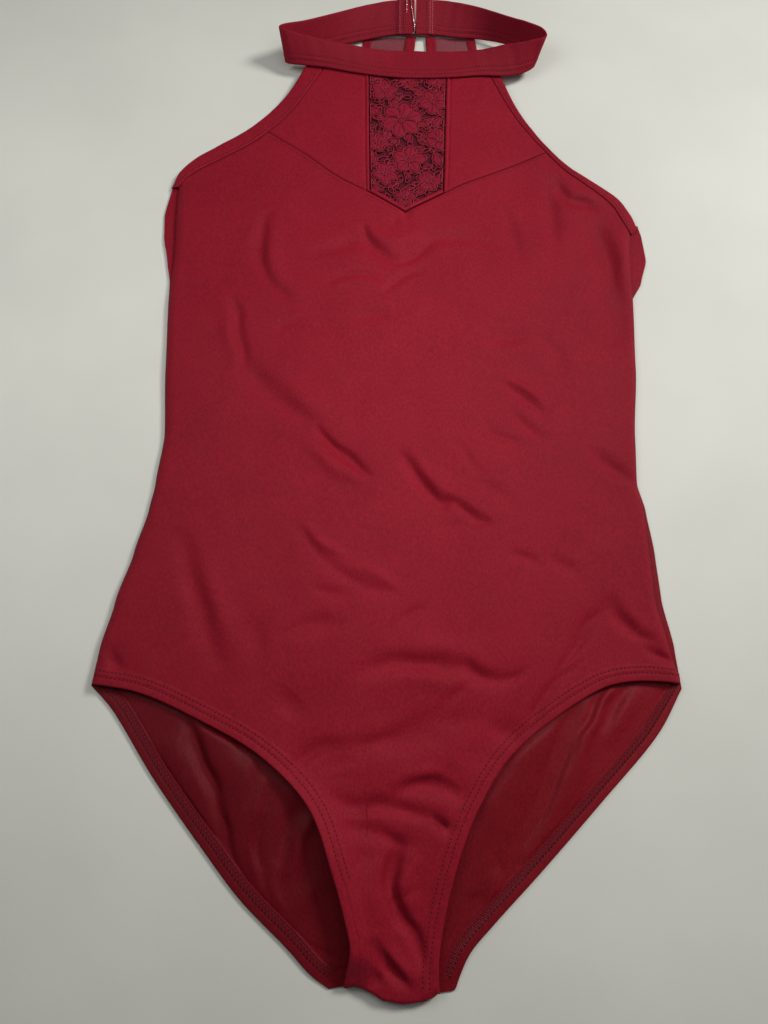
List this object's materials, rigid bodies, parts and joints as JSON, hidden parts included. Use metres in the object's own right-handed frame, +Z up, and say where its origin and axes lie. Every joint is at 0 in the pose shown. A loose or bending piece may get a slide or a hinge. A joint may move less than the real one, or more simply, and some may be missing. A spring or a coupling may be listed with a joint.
{
  "type": "halter leotard laid flat",
  "caption": "High-neck halter leotard laid flat front up, with a lace yoke panel, a sheer keyhole racer back, bound armholes, hemmed leg openings and a neckband with a plastic clasp.",
  "frame": {"origin": "middle of the underside, on the surface that the leotard lies on", "axes": "+X across the laid garment, +Y from the crotch to the neckband, +Z up from the surface through the front"},
  "size_m": [0.335, 0.6388, 0.0248],
  "materials": {
    "body_knit": "satin stretch knit, crimson",
    "binding_knit": "satin stretch knit, folded and topstitched",
    "lace": "corded floral lace on net",
    "sheer_mesh": "fine sheer stretch mesh",
    "clear_plastic": "clear moulded plastic"
  },
  "bodies": {
    "root": {"front_body": "body_knit", "back_body": "body_knit", "yoke_left": "body_knit", "yoke_right": "body_knit", "lace_panel": "lace", "armhole_binding_left_front": "binding_knit", "armhole_binding_right_front": "binding_knit", "armhole_binding_left_back": "binding_knit", "armhole_binding_right_back": "binding_knit", "back_mesh_left": "sheer_mesh", "back_mesh_right": "sheer_mesh", "keyhole_binding_left": "binding_knit", "keyhole_binding_right": "binding_knit", "neckband": "binding_knit", "clasp_hook": "clear_plastic", "clasp_eye": "clear_plastic"}
  },
  "joints": []
}
